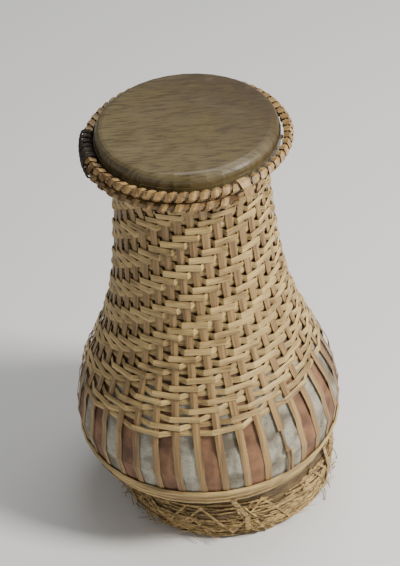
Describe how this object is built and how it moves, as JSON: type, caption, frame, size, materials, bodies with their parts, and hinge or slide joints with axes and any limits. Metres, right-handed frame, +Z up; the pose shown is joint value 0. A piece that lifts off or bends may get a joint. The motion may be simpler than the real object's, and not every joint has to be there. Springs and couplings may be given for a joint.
{
  "type": "goblet drum",
  "caption": "Vase-shaped clay pot drum with a skin head, rattan hoops and a twill-woven cane jacket, standing in a bound straw ring.",
  "frame": {"origin": "on the drum's axis, at the foot of the straw ring", "axes": "+Z up the drum's axis towards the skin head, -Y towards the front as pictured"},
  "size_m": [0.3063, 0.3061, 0.5053],
  "materials": {
    "clay": "matte fired clay with painted bays",
    "skin": "satin",
    "stake_cane": "satin",
    "weaver_cane": "satin",
    "hoop_rattan": "satin",
    "dark_cord": "matte",
    "straw": "matte"
  },
  "bodies": {
    "root": {"clay_pot": "clay", "crossing_strap": "hoop_rattan", "flesh_hoop": "stake_cane", "jacket_weaver": "weaver_cane", "knotted_strand": "stake_cane", "knotted_tail": "stake_cane", "lower_hoop_core": "hoop_rattan", "lower_hoop_wrap": "hoop_rattan", "rim_split_lower": "weaver_cane", "rim_split_middle": "weaver_cane", "rim_split_upper": "weaver_cane", "ring_lashing": "straw", "ring_tie_back": "straw", "ring_tie_front": "straw", "ring_tie_left": "straw", "ring_tie_right": "straw", "side_lashing": "dark_cord", "skin_head": "skin", "stake_01": "stake_cane", "stake_02": "stake_cane", "stake_03": "stake_cane", "stake_04": "stake_cane", "stake_05": "stake_cane", "stake_06": "stake_cane", "stake_07": "stake_cane", "stake_08": "stake_cane", "stake_09": "stake_cane", "stake_10": "stake_cane", "stake_11": "stake_cane", "stake_12": "stake_cane", "stake_13": "stake_cane", "stake_14": "stake_cane", "stake_15": "stake_cane", "stake_16": "stake_cane", "stake_17": "stake_cane", "stake_18": "stake_cane", "stake_19": "stake_cane", "stake_20": "stake_cane", "stake_21": "stake_cane", "stake_22": "stake_cane", "stake_23": "stake_cane", "stake_24": "stake_cane", "stake_25": "stake_cane", "stake_26": "stake_cane", "stake_27": "stake_cane", "stake_28": "stake_cane", "stake_29": "stake_cane", "stake_30": "stake_cane", "stake_31": "stake_cane", "stake_32": "stake_cane", "stake_33": "stake_cane", "stake_34": "stake_cane", "stake_35": "stake_cane", "stake_36": "stake_cane", "stake_37": "stake_cane", "straw_ring": "straw", "upper_hoop_core": "hoop_rattan", "upper_hoop_wrap": "hoop_rattan"}
  },
  "joints": []
}
